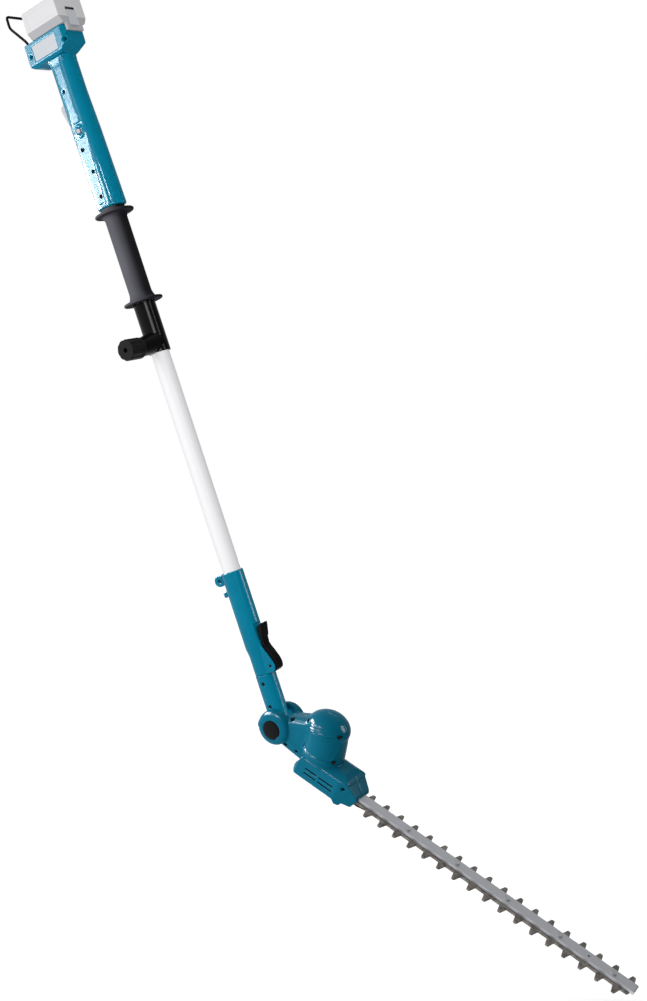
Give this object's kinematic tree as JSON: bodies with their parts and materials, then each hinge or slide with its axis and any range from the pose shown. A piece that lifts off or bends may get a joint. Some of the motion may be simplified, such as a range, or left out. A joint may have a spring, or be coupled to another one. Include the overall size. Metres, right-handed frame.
{
  "type": "pole hedge trimmer",
  "caption": "Battery pole hedge trimmer with telescoping pole, clamp knob, lever-locked tilting cutter head and double-sided reciprocating blades",
  "frame": {"origin": "middle of the front grip, on the pole's axis", "axes": "+Z along the pole towards the battery, +X towards the motor side of the head and the battery's latch, +Y across the tool"},
  "size_m": [0.4944, 0.106, 1.5605],
  "materials": {
    "teal_shell": "gloss moulded plastic with light grain",
    "black_plastic": "satin black moulding",
    "grip": "matte soft grip",
    "sleeve": "gloss black moulding",
    "pale_plastic": "pale grey moulding",
    "label": "plain white plate",
    "alu_pipe": "satin anodised tube",
    "alu_cast": "cast alloy",
    "zinc_steel": "bright zinc plated",
    "dark_steel": "black screws and wire",
    "bar_steel": "brushed along its length",
    "blade_steel": "dark ground steel",
    "spring_steel": "drawn wire",
    "bronze": "sintered bronze",
    "nylon": "natural nylon",
    "copper_winding": "varnished winding",
    "board": "coated circuit board",
    "cell_wrap": "shrink wrapped cells",
    "lead": "sheathed lead"
  },
  "bodies": {
    "handle": {"handle_shell_right": "teal_shell", "handle_shell_left": "teal_shell", "handle_screws": "dark_steel", "label_plate": "label", "terminal_block": "black_plastic", "switch_unit": "black_plastic", "control_board": "board", "wire_hook": "dark_steel", "outer_pipe": "alu_pipe", "front_grip": "grip", "clamp_sleeve": "sleeve", "clamp_nut": "zinc_steel", "guide_bush": "nylon", "coiled_lead": "lead", "trigger_pin": "zinc_steel"},
    "battery": {"battery_case": "pale_plastic", "battery_tray": "pale_plastic", "battery_cells": "cell_wrap"},
    "battery_latch": {"battery_button": "label"},
    "trigger": {"trigger": "pale_plastic"},
    "lock_button": {"lock_button": "pale_plastic"},
    "clamp": {"clamp_knob": "black_plastic", "clamp_screw": "zinc_steel"},
    "lower_pole": {"inner_pipe": "alu_pipe", "slide_bush": "nylon", "pole_socket": "teal_shell", "pole_lead": "lead", "lever_pin": "zinc_steel", "lock_spring": "spring_steel", "yoke_shell_right": "teal_shell", "yoke_shell_left": "teal_shell", "yoke_core": "alu_cast", "yoke_screws": "dark_steel", "yoke_bushes": "bronze"},
    "release_lever": {"release_lever": "black_plastic"},
    "lock_pin": {"lock_pin": "zinc_steel"},
    "head": {"head_shell_right": "teal_shell", "head_shell_left": "teal_shell", "head_screws": "dark_steel", "detent_disc": "zinc_steel", "pivot_bolt": "zinc_steel", "pivot_nut": "zinc_steel", "pivot_caps": "black_plastic", "pivot_washers": "zinc_steel", "motor_can": "dark_steel", "motor_stator": "copper_winding", "motor_bearings": "alu_cast", "gear_case": "alu_cast", "crank_bearing": "bronze", "guide_bar": "bar_steel", "bar_screws": "zinc_steel", "bar_nuts": "zinc_steel", "under_guard": "black_plastic", "motor_leads": "lead"},
    "rotor": {"motor_rotor": "zinc_steel", "cooling_fan": "black_plastic"},
    "crank": {"crank_gear": "zinc_steel"},
    "upper_blade": {"upper_blade": "blade_steel"},
    "lower_blade": {"lower_blade": "blade_steel"}
  },
  "joints": [
    {"name": "battery_slide", "type": "slide", "parent": "handle", "child": "battery", "axis": [1, 0, 0], "range_m": [0, 0.062]},
    {"name": "battery_latch_press", "type": "slide", "parent": "battery", "child": "battery_latch", "axis": [0, 0, 1], "range_m": [0, 0.0035], "stiffness_N_per_m": 2500},
    {"name": "trigger_pull", "type": "hinge", "parent": "handle", "child": "trigger", "pos_m": [-0.0155, 0, 0.206], "axis": [0, 1, 0], "range_deg": [0, 10], "stiffness_Nm_per_rad": 1.2},
    {"name": "lock_button_press", "type": "slide", "parent": "handle", "child": "lock_button", "axis": [0, 1, 0], "range_m": [0, 0.004], "stiffness_N_per_m": 1500},
    {"name": "clamp_turn", "type": "hinge", "parent": "handle", "child": "clamp", "pos_m": [0, -0.06, -0.1348], "axis": [0, 1, 0], "range_deg": [-90, 360]},
    {"name": "pole_telescope", "type": "slide", "parent": "handle", "child": "lower_pole", "axis": [0, 0, 1], "range_m": [-0.02, 0.215], "deforming": ["coiled_lead"]},
    {"name": "lever_turn", "type": "hinge", "parent": "lower_pole", "child": "release_lever", "pos_m": [0.021, 0, -0.634], "axis": [0, 1, 0], "range_deg": [0, 18], "stiffness_Nm_per_rad": 0.8},
    {"name": "lock_pin_lift", "type": "slide", "parent": "lower_pole", "child": "lock_pin", "axis": [0, 0, 1], "range_m": [0, 0.005], "deforming": ["lock_spring"]},
    {"name": "head_tilt", "type": "hinge", "parent": "lower_pole", "child": "head", "pos_m": [0, 0, -0.7239], "axis": [0, 1, 0], "range_deg": [0, 114]},
    {"name": "crank_spin", "type": "hinge", "parent": "head", "child": "crank", "pos_m": [0.07236, 0, -0.79161], "axis": [0.6833, 0, 0.7302], "continuous": true},
    {"name": "motor_spin", "type": "hinge", "parent": "head", "child": "rotor", "pos_m": [0.05403, 0, -0.77446], "axis": [0.6833, 0, 0.7302], "continuous": true},
    {"name": "upper_blade_slide", "type": "slide", "parent": "head", "child": "upper_blade", "axis": [0.7302, 0, -0.6833], "range_m": [-0.006, 0.006]},
    {"name": "lower_blade_slide", "type": "slide", "parent": "head", "child": "lower_blade", "axis": [0.7302, 0, -0.6833], "range_m": [-0.006, 0.006]}
  ],
  "couplings": [
    {"joint": "crank_spin", "follows": "motor_spin", "ratio": -0.25},
    {"joint": "lock_pin_lift", "follows": "lever_turn", "m_per_rad": 0.0159},
    {"joint": "lower_blade_slide", "follows": "upper_blade_slide", "ratio": -1}
  ]
}
